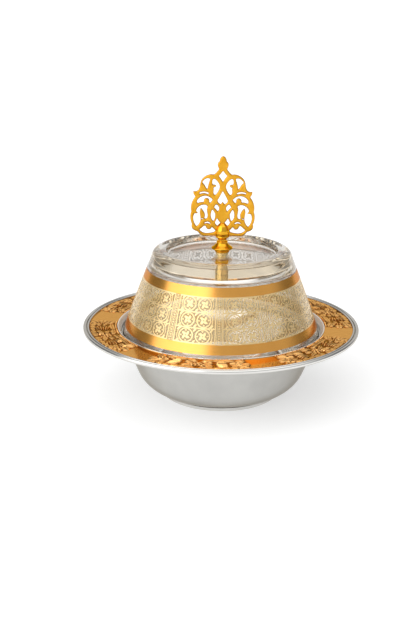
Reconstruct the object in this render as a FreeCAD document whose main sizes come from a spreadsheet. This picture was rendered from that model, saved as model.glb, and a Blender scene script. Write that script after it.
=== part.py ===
# Lidded date dish: a spun steel bowl with a gold-banded flange, a loose glass lid and a screwed-on finial.
# Millimetres, +Z up. The origin is the middle of the circle that the foot ring stands on.

import FreeCAD, Part
import math
import os
import types
import Sketcher

# The driving dimensions: name, number and what it measures.
SIZES = [
    ("sheet", 1.2, "thickness of the spun sheet"),
    ("foot_height", 3.2, "table to the underside of the bowl's floor"),
    ("foot_radius", 53.0, "outside of the foot ring where it stands"),
    ("foot_width", 2.6, "width of the foot ring's standing face"),
    ("foot_flare", 0.8, "how much wider the foot ring is where it meets the bowl, each side"),
    ("bowl_depth", 53.1, "ledge above the bowl's floor"),
    ("floor_overhang", 15.8, "from the foot ring to where floor and straight side would meet"),
    ("floor_turn", 24.0, "outside radius of the turn from floor to side"),
    ("upright_height", 5.5, "part of the side under the ledge that stands nearly upright"),
    ("upright_lean", 0.4, "how far that part leans out"),
    ("ledge_width", 4.4, "ledge that the lid rests on"),
    ("lid_clearance", 1.6, "lid to the step around it"),
    ("seat_depth", 6.9, "ledge to the silver edge of the flange"),
    ("edge_width", 2.7, "silver edge between the step and the gold band"),
    ("edge_round", 0.5, "rounding of that edge"),
    ("band_width", 25.2, "gold band, across"),
    ("band_thickness", 0.5, "gold band between its leaves"),
    ("band_inset", 0.7, "gold band below the silver edge"),
    ("spray_turn", 50.0, "degrees round from the back of the dish to the middle of a spray"),
    ("leaf_rise", 1.0, "pressed leaves above the gold band"),
    ("leaf_length", 38.0, "pressed leaf, along the band"),
    ("leaf_margin", 0.8, "pressed leaves to the edges of the gold band"),
    ("leaf_gap", 2.4, "between the inner and the outer row of leaves"),
    ("leaf_parting", 4.0, "between the roots of the two leaves of a row"),
    ("rosette_radius", 3.4, "boss in the middle of a spray"),
    ("bead_width", 5.5, "rolled bead, across"),
    ("bead_rise", 1.2, "rolled bead above the silver edge"),
    ("bead_round", 1.2, "rounding of the bead"),
    ("lip_radius", 90.0, "outside of the glass lid at its lip"),
    ("lip_round", 0.8, "rounding of the lip"),
    ("lid_height", 76.3, "glass lid, from lip to top ring"),
    ("lid_taper", 28.8, "how far the glass side leans in"),
    ("lid_wall", 4.8, "glass side, measured level"),
    ("ring_width", 10.6, "raised ring on top of the glass"),
    ("recess_depth", 3.6, "top ring above the recess floor"),
    ("base_thickness", 10.2, "glass under the recess"),
    ("shoulder_round", 4.0, "rounding of the shoulder"),
    ("recess_round", 1.5, "rounding of the recess edge"),
    ("recess_slope", 1.2, "how far the recess's side leans in"),
    ("recess_cove", 1.2, "rounding at the bottom of the recess"),
    ("ceiling_cove", 5.0, "rounding inside, under the base"),
    ("stud_radius", 3.0, "stud through the glass"),
    ("stud_chamfer", 0.6, "ends of the stud"),
    ("stud_grip", 12.4, "stud inside the stem"),
    ("running_clearance", 0.05, "stud to sleeve and washers, all round"),
    ("thread_clearance", 0.05, "stud to stem and nut, all round"),
    ("end_clearance", 0.3, "ends of the stud to the ends of their holes"),
    ("sleeve_wall", 0.95, "sleeve that lines the hole in the glass"),
    ("gasket_thickness", 1.6, "soft washers"),
    ("upper_gasket_land", 1.6, "soft washer under the finial, beyond the hole"),
    ("lower_gasket_land", 3.5, "soft washer under the glass, beyond the hole"),
    ("washer_thickness", 1.2, "metal washer"),
    ("washer_land", 3.95, "metal washer, across its ring"),
    ("nut_across", 10.0, "cap nut, across its flats"),
    ("nut_thickness", 4.6, "hexagon of the cap nut"),
    ("dome_radius", 4.6, "dome of the cap nut, at its root"),
    ("dome_height", 4.4, "dome of the cap nut"),
    ("dome_round", 3.0, "rounding of the dome"),
    ("dome_wall", 1.6, "metal over the end of the stud"),
    ("collar_overhang", 0.7, "collar beyond the soft washer that it stands on"),
    ("collar_height", 2.0, "collar"),
    ("flare_width", 3.2, "flared foot of the finial beyond the collar"),
    ("flare_rise", 1.4, "collar to the lower edge of the flare"),
    ("flare_edge", 1.0, "thickness of the flare's edge"),
    ("flare_height", 4.6, "flare's edge to the neck"),
    ("flare_hollow", 5.0, "radius of the flare's hollow side"),
    ("neck_wall", 0.85, "neck around the stud's hole"),
    ("neck_height", 3.9, "neck"),
    ("bulb_step", 1.1, "bulb's lower edge beyond the neck"),
    ("bulb_bulge", 1.2, "bulb's widest part beyond its lower edge"),
    ("bulb_swell", 4.4, "lower edge of the bulb to its widest"),
    ("bulb_upright", 2.4, "upright part of the bulb"),
    ("bulb_taper", 3.8, "how far the bulb draws in to the flat on its top"),
    ("bulb_crown", 4.2, "upright part of the bulb to its top"),
    ("bulb_round", 1.8, "rounding of the bulb"),
    ("slot_floor", 1.8, "lower edge of the bulb to the floor of the plaque's slot"),
    ("plaque_width", 55.8, "pierced plaque, over all"),
    ("plaque_height", 71.3, "pierced plaque, over all"),
    ("plaque_thickness", 3.0, "pierced plaque"),
]


class Size:
    """A length: its number, and the expression that ties a sketch or a feature to the sheet."""

    def __init__(self, number, text):
        self.number = number
        self.text = text

    def __add__(self, other):
        return Size(self.number + other.number, f"({self.text} + {other.text})")

    def __sub__(self, other):
        return Size(self.number - other.number, f"({self.text} - {other.text})")

    def __mul__(self, other):
        return Size(self.number * other.number, f"({self.text} * {other.text})")

    def __truediv__(self, other):
        return Size(self.number / other.number, f"({self.text} / {other.text})")


doc = FreeCAD.newDocument("date_dish")
sheet = doc.addObject("Spreadsheet::Sheet", "sizes")
size = types.SimpleNamespace()
for row, (name, number, meaning) in enumerate(SIZES, start=1):
    sheet.set(f"A{row}", meaning)
    sheet.set(f"B{row}", str(number))
    sheet.setAlias(f"B{row}", name)
    setattr(size, name, Size(number, f"sizes.{name}"))
doc.recompute()

ZERO = Size(0.0, "0")
HALF = Size(0.5, "0.5")
TWICE = Size(2.0, "2")
DEGREES = Size(180 / math.pi, "180 / pi")
NEAR = 1e-4
pieces = {}


def pin(sketch, kind, axis, corner, length):
    """Ties one coordinate of a sketch's corner to a length, or to an axis where the length is nothing."""
    if length is ZERO:
        sketch.addConstraint(Sketcher.Constraint("PointOnObject", corner, 1, axis))
        return
    index = sketch.addConstraint(Sketcher.Constraint(kind, -1, 1, corner, 1, length.number))
    sketch.setExpression(f"Constraints[{index}]", length.text)


def turned(label, corners):
    """A body turned about Z from a closed outline of (radius, height) corners."""
    body = doc.addObject("PartDesign::Body", label)
    sketch = body.newObject("Sketcher::SketchObject", label + "_outline")
    plane = next(item for item in body.Origin.OriginFeatures if item.Role == "XZ_Plane")
    sketch.AttachmentSupport = [(plane, "")]
    sketch.MapMode = "FlatFace"
    points = [FreeCAD.Vector(radius.number, height.number, 0) for radius, height in corners]
    for here, there in zip(points, points[1:] + points[:1]):
        sketch.addGeometry(Part.LineSegment(here, there))
    for index, (radius, height) in enumerate(corners):
        sketch.addConstraint(Sketcher.Constraint("Coincident", index, 2, (index + 1) % len(corners), 1))
        pin(sketch, "DistanceX", -2, index, radius)
        pin(sketch, "DistanceY", -1, index, height)
    turn = body.newObject("PartDesign::Revolution", label + "_turn")
    turn.Profile = sketch
    turn.ReferenceAxis = (sketch, ["V_Axis"])
    turn.Angle = 360
    doc.recompute()
    return body


def eased(body, corner, radius):
    """Rounds the circular edges that a corner of the outline became."""
    names = []
    for number, edge in enumerate(body.Shape.Edges, start=1):
        curve = edge.Curve
        if not isinstance(curve, Part.Circle):
            continue
        if abs(curve.Radius - corner[0].number) < NEAR and abs(curve.Center.z - corner[1].number) < NEAR:
            names.append(f"Edge{number}")
    if not names:
        raise RuntimeError(f"{body.Label} has no edge at {corner[0].text}, {corner[1].text}")
    base = body.Tip
    ease = body.newObject("PartDesign::Fillet", body.Name + "_ease")
    ease.Base = (base, names)
    ease.setExpression("Radius", radius.text)
    doc.recompute()


# Bowl: one sheet, from the floor up the side, out over the ledge, up the step and out along the flange
# to the bead. Its radii are counted outwards from the lid's lip, and its heights upwards from the table.
floor_top = size.foot_height + size.sheet
seat_height = floor_top + size.bowl_depth
flange_height = seat_height + size.seat_depth
channel = flange_height - size.band_inset - size.band_thickness
flange_under = channel - size.sheet
bead_top = flange_height + size.bead_rise
seat_radius = size.lip_radius + size.lid_clearance
band_inner = seat_radius + size.edge_width
bead_inner = band_inner + size.band_width
rim_radius = bead_inner + size.bead_width
ledge_inner = seat_radius - size.ledge_width
side_inner = ledge_inner - size.upright_lean
upright_bottom = seat_height - size.upright_height
ledge_under = seat_height - size.sheet
floor_corner = (size.foot_radius + size.floor_overhang, size.foot_height)
inner_floor_corner = (floor_corner[0] - size.sheet, floor_top)
seat_edge = (seat_radius, flange_height)
bowl = turned("dish_bowl", [
    (ZERO, size.foot_height),
    floor_corner,
    (side_inner + size.sheet, upright_bottom),
    (ledge_inner + size.sheet, ledge_under),
    (seat_radius + size.sheet, ledge_under),
    (seat_radius + size.sheet, flange_under),
    (rim_radius, flange_under),
    (rim_radius, bead_top),
    (bead_inner, bead_top),
    (bead_inner, channel),
    (band_inner, channel),
    (band_inner, flange_height),
    seat_edge,
    (seat_radius, seat_height),
    (ledge_inner, seat_height),
    (side_inner, upright_bottom),
    inner_floor_corner,
    (ZERO, floor_top),
])
eased(bowl, floor_corner, size.floor_turn)
eased(bowl, inner_floor_corner, size.floor_turn - size.sheet)
eased(bowl, (rim_radius, bead_top), size.bead_round)
eased(bowl, (rim_radius, flange_under), size.bead_round)
eased(bowl, (bead_inner, bead_top), size.bead_round)
eased(bowl, seat_edge, size.edge_round)
pieces["dish_bowl"] = bowl

# Gold band: a ring that lies in the flange's channel, pressed in relief. Six sprays stand up from it, each of
# four long leaves round a boss, and the band is plain between one spray and the next.
SPRAYS = 6
band_top = channel + size.band_thickness
band_middle = band_inner + size.band_width * HALF
band = turned("rim_band", [
    (band_inner, channel),
    (bead_inner, channel),
    (bead_inner, band_top),
    (band_inner, band_top),
])


def sine(angle):
    """The sine of an angle in degrees."""
    return Size(math.sin(math.radians(angle.number)), f"sin({angle.text})")


def cosine(angle):
    """The cosine of an angle in degrees."""
    return Size(math.cos(math.radians(angle.number)), f"cos({angle.text})")


def measured(sketch, length, *constraint):
    """A constraint of a sketch that holds a length."""
    index = sketch.addConstraint(Sketcher.Constraint(*constraint, length.number))
    sketch.setExpression(f"Constraints[{index}]", length.text)


def leaf(sketch, inner, outer):
    """A leaf across the sketch's upright axis: two arcs that meet at its root and its tip."""
    half_turn = size.leaf_length * HALF / band_middle * DEGREES
    middle = (inner + outer) * HALF
    across = middle * sine(half_turn)
    up = middle * cosine(half_turn)
    root = FreeCAD.Vector(-across.number, up.number, 0)
    tip = FreeCAD.Vector(across.number, up.number, 0)
    over = sketch.addGeometry(Part.Arc(tip, FreeCAD.Vector(0, outer.number, 0), root))
    under = sketch.addGeometry(Part.Arc(root, FreeCAD.Vector(0, inner.number, 0), tip))
    sketch.addConstraint(Sketcher.Constraint("Coincident", over, 2, under, 1))
    sketch.addConstraint(Sketcher.Constraint("Coincident", under, 2, over, 1))
    sketch.addConstraint(Sketcher.Constraint("Symmetric", over, 1, over, 2, -2))
    measured(sketch, across, "DistanceX", -1, 1, over, 1)
    measured(sketch, up, "DistanceY", -1, 1, over, 1)
    for arc, bulge in ((over, outer - up), (under, up - inner)):
        measured(sketch, (across * across + bulge * bulge) / bulge * HALF, "Radius", arc)


def leaves(sketch):
    """The inner and the outer leaf on one side of a spray's boss."""
    leaf(sketch, band_inner + size.leaf_margin, band_middle - size.leaf_gap * HALF)
    leaf(sketch, band_middle + size.leaf_gap * HALF, bead_inner - size.leaf_margin)


def rosette(sketch):
    """The boss in the middle of a spray."""
    centre = FreeCAD.Vector(0, band_middle.number, 0)
    circle = sketch.addGeometry(Part.Circle(centre, FreeCAD.Vector(0, 0, 1), size.rosette_radius.number))
    sketch.addConstraint(Sketcher.Constraint("PointOnObject", circle, 3, -2))
    measured(sketch, band_middle, "DistanceY", -1, 1, circle, 3)
    measured(sketch, size.rosette_radius, "Radius", circle)


def pressed(label, turn, draw):
    """Raises what is drawn from the top of the band, turned round from the back, once for each spray."""
    plane = next(item for item in band.Origin.OriginFeatures if item.Role == "XY_Plane")
    upright = next(item for item in band.Origin.OriginFeatures if item.Role == "Z_Axis")
    sketch = band.newObject("Sketcher::SketchObject", label + "_outline")
    sketch.AttachmentSupport = [(plane, "")]
    sketch.MapMode = "FlatFace"
    sketch.AttachmentOffset = FreeCAD.Placement(
        FreeCAD.Vector(0, 0, band_top.number), FreeCAD.Rotation(FreeCAD.Vector(0, 0, 1), turn.number))
    sketch.setExpression("AttachmentOffset.Base.z", band_top.text)
    sketch.setExpression("AttachmentOffset.Rotation.Angle", turn.text)
    draw(sketch)
    rise = band.newObject("PartDesign::Pad", label + "_rise")
    rise.Profile = sketch
    rise.setExpression("Length", size.leaf_rise.text)
    doc.recompute()
    ring = band.newObject("PartDesign::PolarPattern", label + "_ring")
    ring.Originals = [rise]
    ring.Axis = (upright, [""])
    ring.Angle = 360
    ring.Occurrences = SPRAYS
    band.Tip = ring
    doc.recompute()


leaf_turn = (size.leaf_parting + size.leaf_length) * HALF / band_middle * DEGREES
pressed("right_leaves", size.spray_turn - leaf_turn, leaves)
pressed("left_leaves", size.spray_turn + leaf_turn, leaves)
pressed("rosettes", size.spray_turn, rosette)
pieces["rim_band"] = band

# Foot ring: soldered under the floor, a little wider at the top than where it stands.
foot_inner = size.foot_radius - size.foot_width
pieces["foot_ring"] = turned("foot_ring", [
    (foot_inner, ZERO),
    (size.foot_radius, ZERO),
    (size.foot_radius + size.foot_flare, size.foot_height),
    (foot_inner - size.foot_flare, size.foot_height),
])

# Glass lid: a pressed bowl turned over, with its foot ring on top and a hole drilled through its base.
# Its inside runs level with its outside, one wall further in, up to the ceiling.
lid_top = seat_height + size.lid_height
recess_floor = lid_top - size.recess_depth
ceiling = recess_floor - size.base_thickness
crown_radius = size.lip_radius - size.lid_taper
recess_radius = crown_radius - size.ring_width
lip_inner_radius = size.lip_radius - size.lid_wall
ceiling_radius = lip_inner_radius - size.lid_taper * (ceiling - seat_height) / size.lid_height
sleeve_bore = size.stud_radius + size.running_clearance
hole_radius = sleeve_bore + size.sleeve_wall
lip_outer = (size.lip_radius, seat_height)
lip_inner = (lip_inner_radius, seat_height)
shoulder = (crown_radius, lid_top)
recess_edge = (recess_radius, lid_top)
recess_corner = (recess_radius - size.recess_slope, recess_floor)
ceiling_corner = (ceiling_radius, ceiling)
glass = turned("lid_glass", [
    lip_inner,
    lip_outer,
    shoulder,
    recess_edge,
    recess_corner,
    (hole_radius, recess_floor),
    (hole_radius, ceiling),
    ceiling_corner,
])
eased(glass, shoulder, size.shoulder_round)
eased(glass, recess_edge, size.recess_round)
eased(glass, recess_corner, size.recess_cove)
eased(glass, ceiling_corner, size.ceiling_cove)
eased(glass, lip_outer, size.lip_round)
eased(glass, lip_inner, size.lip_round)
pieces["lid_glass"] = glass


def washer(label, bore, radius, bottom, top):
    """A flat ring from one height to another."""
    pieces[label] = turned(label, [(bore, bottom), (radius, bottom), (radius, top), (bore, top)])


# Sleeve in the hole, soft washers on both sides of the glass, and the metal washer below.
collar_bottom = recess_floor + size.gasket_thickness
washer_top = ceiling - size.gasket_thickness
nut_top = washer_top - size.washer_thickness
upper_gasket_radius = hole_radius + size.upper_gasket_land
lower_gasket_radius = hole_radius + size.lower_gasket_land
washer("hole_sleeve", sleeve_bore, hole_radius, ceiling, recess_floor)
washer("upper_gasket", sleeve_bore, upper_gasket_radius, recess_floor, collar_bottom)
washer("lower_gasket", sleeve_bore, lower_gasket_radius, washer_top, ceiling)
washer("clamp_washer", sleeve_bore, sleeve_bore + size.washer_land, nut_top, washer_top)

# Stud: from the cap nut, through the washers and the glass, into the stem.
thread_bore = size.stud_radius + size.thread_clearance
dome_root = nut_top - size.nut_thickness
nut_bottom = dome_root - size.dome_height
nut_bore_end = nut_bottom + size.dome_wall
stud_bottom = nut_bore_end + size.end_clearance
stud_top = collar_bottom + size.stud_grip
stud_tip = size.stud_radius - size.stud_chamfer
pieces["finial_stud"] = turned("finial_stud", [
    (ZERO, stud_bottom),
    (stud_tip, stud_bottom),
    (size.stud_radius, stud_bottom + size.stud_chamfer),
    (size.stud_radius, stud_top - size.stud_chamfer),
    (stud_tip, stud_top),
    (ZERO, stud_top),
])

# Cap nut: a hexagon with a turned dome below it and a blind bore from above.
dome_tip = (size.dome_radius, nut_bottom)
dome = turned("cap_nut_dome", [
    (ZERO, nut_bottom),
    dome_tip,
    (size.dome_radius, dome_root),
    (ZERO, dome_root),
])
eased(dome, dome_tip, size.dome_round)
hexagon = doc.addObject("Part::Prism", "cap_nut_hexagon")
hexagon.Polygon = 6
hexagon.setExpression("Circumradius", f"{size.nut_across.text} / 2 / cos(30)")
hexagon.setExpression("Height", size.nut_thickness.text)
hexagon.setExpression("Placement.Base.z", dome_root.text)
whole_nut = doc.addObject("Part::Fuse", "cap_nut_whole")
whole_nut.Base = hexagon
whole_nut.Tool = dome
bore = doc.addObject("Part::Cylinder", "cap_nut_bore")
bore.setExpression("Radius", thread_bore.text)
bore.setExpression("Height", (nut_top - nut_bore_end).text)
bore.setExpression("Placement.Base.z", nut_bore_end.text)
nut = doc.addObject("Part::Cut", "cap_nut")
nut.Base = whole_nut
nut.Tool = bore
doc.recompute()
pieces["cap_nut"] = nut

# Stem: collar, flared foot, neck and bulb turned in one piece, bored for the stud and slotted for the plaque.
collar_top = collar_bottom + size.collar_height
flare_low = collar_top + size.flare_rise
flare_high = flare_low + size.flare_edge
neck_bottom = flare_high + size.flare_height
bulb_bottom = neck_bottom + size.neck_height
bulb_wide = bulb_bottom + size.bulb_swell
bulb_high = bulb_wide + size.bulb_upright
bulb_top = bulb_high + size.bulb_crown
bore_end = stud_top + size.end_clearance
collar_radius = upper_gasket_radius + size.collar_overhang
flare_radius = collar_radius + size.flare_width
neck_radius = thread_bore + size.neck_wall
bulb_foot_radius = neck_radius + size.bulb_step
bulb_radius = bulb_foot_radius + size.bulb_bulge
bulb_low_corner = (bulb_radius, bulb_wide)
bulb_high_corner = (bulb_radius, bulb_high)
neck_corner = (neck_radius, neck_bottom)
stem = turned("finial_stem", [
    (thread_bore, collar_bottom),
    (collar_radius, collar_bottom),
    (collar_radius, collar_top),
    (flare_radius, flare_low),
    (flare_radius, flare_high),
    neck_corner,
    (neck_radius, bulb_bottom),
    (bulb_foot_radius, bulb_bottom),
    bulb_low_corner,
    bulb_high_corner,
    (bulb_radius - size.bulb_taper, bulb_top),
    (ZERO, bulb_top),
    (ZERO, bore_end),
    (thread_bore, bore_end),
])
eased(stem, bulb_low_corner, size.bulb_round)
eased(stem, bulb_high_corner, size.bulb_round)
eased(stem, neck_corner, size.flare_hollow)
slot_bottom = bulb_bottom + size.slot_floor
slot = stem.newObject("PartDesign::SubtractiveBox", "finial_stem_slot")
slot.setExpression("Length", (bulb_radius * TWICE).text)
slot.setExpression("Width", size.plaque_thickness.text)
slot.setExpression("Height", (bulb_top - slot_bottom).text)
slot.setExpression("Placement.Base.x", (ZERO - bulb_radius).text)
slot.setExpression("Placement.Base.y", (ZERO - size.plaque_thickness * HALF).text)
slot.setExpression("Placement.Base.z", slot_bottom.text)
doc.recompute()
pieces["finial_stem"] = stem

# Plaque: a pierced plate, the same left and right. Its outlines are drawn for the right half as (across, up)
# points from the middle of its foot, at the drawn size below. Each run of points is one smooth curve.
DRAWN_WIDTH = 55.8
DRAWN_HEIGHT = 71.3
EDGE = [
    [(0, 71.3), (1.7, 70.2), (2.7, 68.4), (3.0, 66.4)],
    [(3.0, 66.4), (4.6, 64.7), (4.6, 62.8), (3.3, 60.0)],
    [(3.3, 60.0), (5.4, 57.0), (7.7, 54.8)],
    [(7.7, 54.8), (11.3, 55.0), (15.2, 53.3), (18.3, 50.2), (19.4, 46.6), (19.9, 43.6), (21.3, 40.8)],
    [(21.3, 40.8), (23.2, 39.9), (25.5, 40.2)],
    [(25.5, 40.2), (25.0, 37.4), (23.4, 35.4)],
    [(23.4, 35.4), (26.0, 31.4), (27.4, 26.6), (27.0, 22.0)],
    [(27.0, 22.0), (27.9, 18.0), (27.5, 13.7), (26.3, 10.4)],
    [(26.3, 10.4), (26.7, 7.9), (25.0, 5.5), (21.6, 4.2)],
    [(21.6, 4.2), (19.8, 1.9), (17.1, 0)],
    [(17.1, 0), (0, 0)],
]
MIDDLE_OPENINGS = [
    [[(0, 58.6), (1.7, 56.0), (3.8, 53.8)],
     [(3.8, 53.8), (1.7, 51.2), (0, 48.2)]],
    [[(0, 40.6), (2.3, 36.2), (4.5, 32.0)],
     [(4.5, 32.0), (3.3, 29.6), (1.4, 28.6)],
     [(1.4, 28.6), (0, 31.0)]],
]
SIDE_OPENINGS = [
    [[(7.4, 51.4), (4.4, 48.6), (2.7, 44.5), (3.8, 40.4), (6.5, 36.6)],
     [(6.5, 36.6), (8.1, 39.6), (7.9, 42.0), (8.5, 43.7)],
     [(8.5, 43.7), (7.0, 43.8), (5.6, 44.8)],
     [(5.6, 44.8), (6.8, 46.0), (8.6, 46.0), (9.2, 48.4), (8.8, 50.6), (7.4, 51.4)]],
    [[(10.9, 51.3), (13.9, 51.6), (16.4, 50.0), (17.9, 47.6)],
     [(17.9, 47.6), (16.0, 46.0), (14.8, 43.9), (12.9, 41.4)],
     [(12.9, 41.4), (12.8, 44.6), (11.8, 48.2), (10.9, 51.3)]],
    [[(12.4, 39.0), (16.0, 39.8), (19.4, 39.2)],
     [(19.4, 39.2), (20.4, 38.3), (19.8, 37.5)],
     [(19.8, 37.5), (16.0, 38.3), (12.7, 37.3)],
     [(12.7, 37.3), (12.0, 38.2), (12.4, 39.0)]],
    [[(8.6, 32.4), (11.3, 35.0), (15.4, 36.1), (19.2, 34.9), (22.0, 32.0)],
     [(22.0, 32.0), (22.3, 30.4), (21.5, 29.2)],
     [(21.5, 29.2), (18.6, 30.3), (15.8, 30.2)],
     [(15.8, 30.2), (16.3, 32.0), (15.4, 33.6), (13.8, 34.1), (12.2, 33.4), (11.5, 31.8), (12.0, 30.2)],
     [(12.0, 30.2), (10.4, 29.8)],
     [(10.4, 29.8), (9.6, 31.2), (8.6, 32.4)]],
    [[(12.7, 26.4), (15.2, 28.1), (19.0, 27.4), (22.0, 24.8), (22.9, 22.6)],
     [(22.9, 22.6), (22.4, 21.4), (21.0, 21.2)],
     [(21.0, 21.2), (22.6, 20.2), (24.2, 20.5)],
     [(24.2, 20.5), (25.4, 17.0), (24.7, 12.2), (22.4, 8.4)],
     [(22.4, 8.4), (20.0, 11.4), (19.0, 15.4), (19.6, 19.6), (18.8, 25.2)],
     [(18.8, 25.2), (16.6, 22.4), (15.2, 19.2), (16.0, 16.0)],
     [(16.0, 16.0), (13.8, 15.6), (12.9, 18.0), (13.5, 22.2), (12.7, 26.4)]],
    [[(17.0, 15.7), (17.8, 16.2), (18.5, 15.6)],
     [(18.5, 15.6), (18.0, 14.6), (17.3, 14.7), (17.0, 15.7)]],
    [[(5.6, 28.6), (4.0, 27.4), (2.9, 25.3)],
     [(2.9, 25.3), (3.4, 23.2), (4.2, 21.8)],
     [(4.2, 21.8), (5.6, 24.0), (7.5, 25.6)],
     [(7.5, 25.6), (6.7, 27.2), (5.6, 28.6)]],
    [[(8.9, 24.2), (7.4, 22.0), (6.3, 19.6)],
     [(6.3, 19.6), (6.6, 16.4), (7.6, 13.2)],
     [(7.6, 13.2), (9.7, 16.0), (10.1, 20.0), (8.9, 24.2)]],
    [[(4.9, 16.6), (3.4, 14.0), (1.6, 11.8)],
     [(1.6, 11.8), (2.6, 10.2), (4.0, 9.0)],
     [(4.0, 9.0), (5.8, 10.6), (6.6, 12.4)],
     [(6.6, 12.4), (5.5, 14.4), (4.9, 16.6)]],
    [[(10.4, 11.5), (12.8, 12.9), (15.6, 11.9)],
     [(15.6, 11.9), (16.2, 11.2), (15.4, 10.9)],
     [(15.4, 10.9), (12.8, 11.5), (11.0, 10.6)],
     [(11.0, 10.6), (10.4, 10.8), (10.4, 11.5)]],
    [[(5.8, 5.0), (7.8, 6.8), (9.6, 9.3)],
     [(9.6, 9.3), (9.6, 7.4), (10.8, 6.1), (12.4, 6.0), (13.8, 7.0), (14.3, 9.0)],
     [(14.3, 9.0), (16.0, 9.4)],
     [(16.0, 9.4), (17.8, 7.4), (20.0, 5.9)],
     [(20.0, 5.9), (18.6, 4.0), (16.6, 2.9), (9.4, 2.9), (7.4, 3.5), (5.8, 5.0)]],
]


def laid(runs, side):
    """The runs of one half, as points of the plate's front face: side 1 is the right half, -1 the left."""
    across = side * size.plaque_width.number / DRAWN_WIDTH
    up = size.plaque_height.number / DRAWN_HEIGHT
    front = -size.plaque_thickness.number / 2
    foot = slot_bottom.number
    return [[FreeCAD.Vector(across * x, front, foot + up * y) for x, y in run] for run in runs]


def wire(runs):
    """One closed wire of straight and smooth edges."""
    edges = []
    for points in runs:
        if len(points) == 2:
            edges.append(Part.LineSegment(*points).toShape())
            continue
        curve = Part.BSplineCurve()
        curve.interpolate(points)
        edges.append(curve.toShape())
    return Part.Wire(edges)


def across_the_middle(runs):
    """A closed wire from one half that starts and ends on the middle line, and its mirror image."""
    back = [points[::-1] for points in laid(runs, -1)[::-1]]
    return wire(laid(runs, 1) + back)


wires = [across_the_middle(EDGE)]
wires += [across_the_middle(opening) for opening in MIDDLE_OPENINGS]
for opening in SIDE_OPENINGS:
    wires += [wire(laid(opening, 1)), wire(laid(opening, -1))]
plate = Part.makeFace(wires, "Part::FaceMakerBullseye")
plaque = doc.addObject("Part::Feature", "finial_plaque")
plaque.Shape = plate.extrude(FreeCAD.Vector(0, size.plaque_thickness.number, 0))
pieces["finial_plaque"] = plaque

# Every object has to be sound before anything is written.
doc.recompute()
for item in doc.Objects:
    if "Invalid" in item.State or "Error" in item.State:
        raise RuntimeError(f"{item.Name} did not build: {item.State}")
for label, item in pieces.items():
    item.Label = label
    if item.Shape.isNull() or not item.Shape.isValid() or len(item.Shape.Solids) != 1:
        raise RuntimeError(f"{label} is not one sound solid")

os.makedirs("parts", exist_ok=True)
for label, item in pieces.items():
    box = item.Shape.BoundBox
    print(f"{label}: {item.Shape.Volume:.1f} mm3, height {box.ZMin:.2f} to {box.ZMax:.2f}, "
          f"width {box.XLength:.2f}")
    item.Shape.exportStep(f"parts/{label}.step")
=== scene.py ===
import math

import bmesh
import bpy
import numpy as np
from mathutils import Matrix, Vector
from mathutils.bvhtree import BVHTree


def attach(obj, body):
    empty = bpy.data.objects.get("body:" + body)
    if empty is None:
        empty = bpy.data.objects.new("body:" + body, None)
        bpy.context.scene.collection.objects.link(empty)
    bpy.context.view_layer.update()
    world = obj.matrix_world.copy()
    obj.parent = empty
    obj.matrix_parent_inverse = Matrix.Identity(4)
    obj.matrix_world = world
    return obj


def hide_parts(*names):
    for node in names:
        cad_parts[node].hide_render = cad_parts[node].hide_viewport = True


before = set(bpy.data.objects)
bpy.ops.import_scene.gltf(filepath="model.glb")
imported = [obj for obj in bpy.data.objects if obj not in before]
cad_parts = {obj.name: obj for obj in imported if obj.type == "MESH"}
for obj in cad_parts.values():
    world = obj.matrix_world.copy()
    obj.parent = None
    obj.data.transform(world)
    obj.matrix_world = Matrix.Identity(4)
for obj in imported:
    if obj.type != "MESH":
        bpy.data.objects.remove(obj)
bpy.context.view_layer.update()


# Dish bowl. The real bowl is one sheet of stainless steel, pressed and spun to a deep round well with a wide
# flat flange, a seat for the lid and a rolled outer bead. Turning strokes leave it bright inside and on the
# bead, satin below and matt on the seat. The satin outside is painted a darker grey as painted shade, and
# the matt seat is painted paler than steel as painted light.
WELD = 1e-7
CREASE = math.radians(38)


def turned(name, corners, turns, closed=False, run=0.0025, facets=8):
    """A piece turned on the upright axis. Each corner is a radius, a height and a rounding radius."""
    bm = bmesh.new()
    chain = [bm.verts.new((radius, 0, height)) for radius, height, rounding in corners]
    for first, second in zip(chain, chain[1:]):
        bm.edges.new((first, second))
    if closed:
        bm.edges.new((chain[-1], chain[0]))
    reaches = []
    for number, (radius, height, rounding) in enumerate(corners):
        before = Vector(corners[number - 1][:2])
        here = Vector((radius, height))
        after = Vector(corners[(number + 1) % len(corners)][:2])
        bend = (here - before).angle(after - here)
        reaches.append(rounding * math.tan(bend / 2))
    for vert, reach in zip(chain, reaches):
        if reach > 0:
            bmesh.ops.bevel(bm, geom=[vert], offset=reach, offset_type="OFFSET", segments=facets, profile=0.5,
                            affect="VERTICES", material=-1)
    for edge in bm.edges[:]:
        cuts = int(edge.calc_length() / run)
        if cuts:
            bmesh.ops.subdivide_edges(bm, edges=[edge], cuts=cuts)
    bmesh.ops.spin(bm, geom=bm.verts[:] + bm.edges[:], cent=(0, 0, 0), axis=(0, 0, 1), angle=2 * math.pi,
                   steps=turns, use_merge=True)
    bmesh.ops.remove_doubles(bm, verts=bm.verts, dist=WELD)
    bmesh.ops.recalc_face_normals(bm, faces=bm.faces)
    return as_piece(name, bm)


def as_piece(name, bm):
    """A finished bmesh as a smooth shaded object at the origin."""
    mesh = bpy.data.meshes.new(name)
    bm.to_mesh(mesh)
    bm.free()
    mesh.shade_smooth()
    mesh.set_sharp_from_angle(angle=CREASE)
    piece = bpy.data.objects.new(name, mesh)
    bpy.context.scene.collection.objects.link(piece)
    return piece


def new_finish(name):
    """A node material with its tree, its shader and its Object coordinates."""
    finish = bpy.data.materials.new(name)
    finish.use_nodes = True
    tree = finish.node_tree
    shader = tree.nodes["Principled BSDF"]
    place = tree.nodes.new("ShaderNodeTexCoord").outputs["Object"]
    return finish, tree, shader, place


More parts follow.
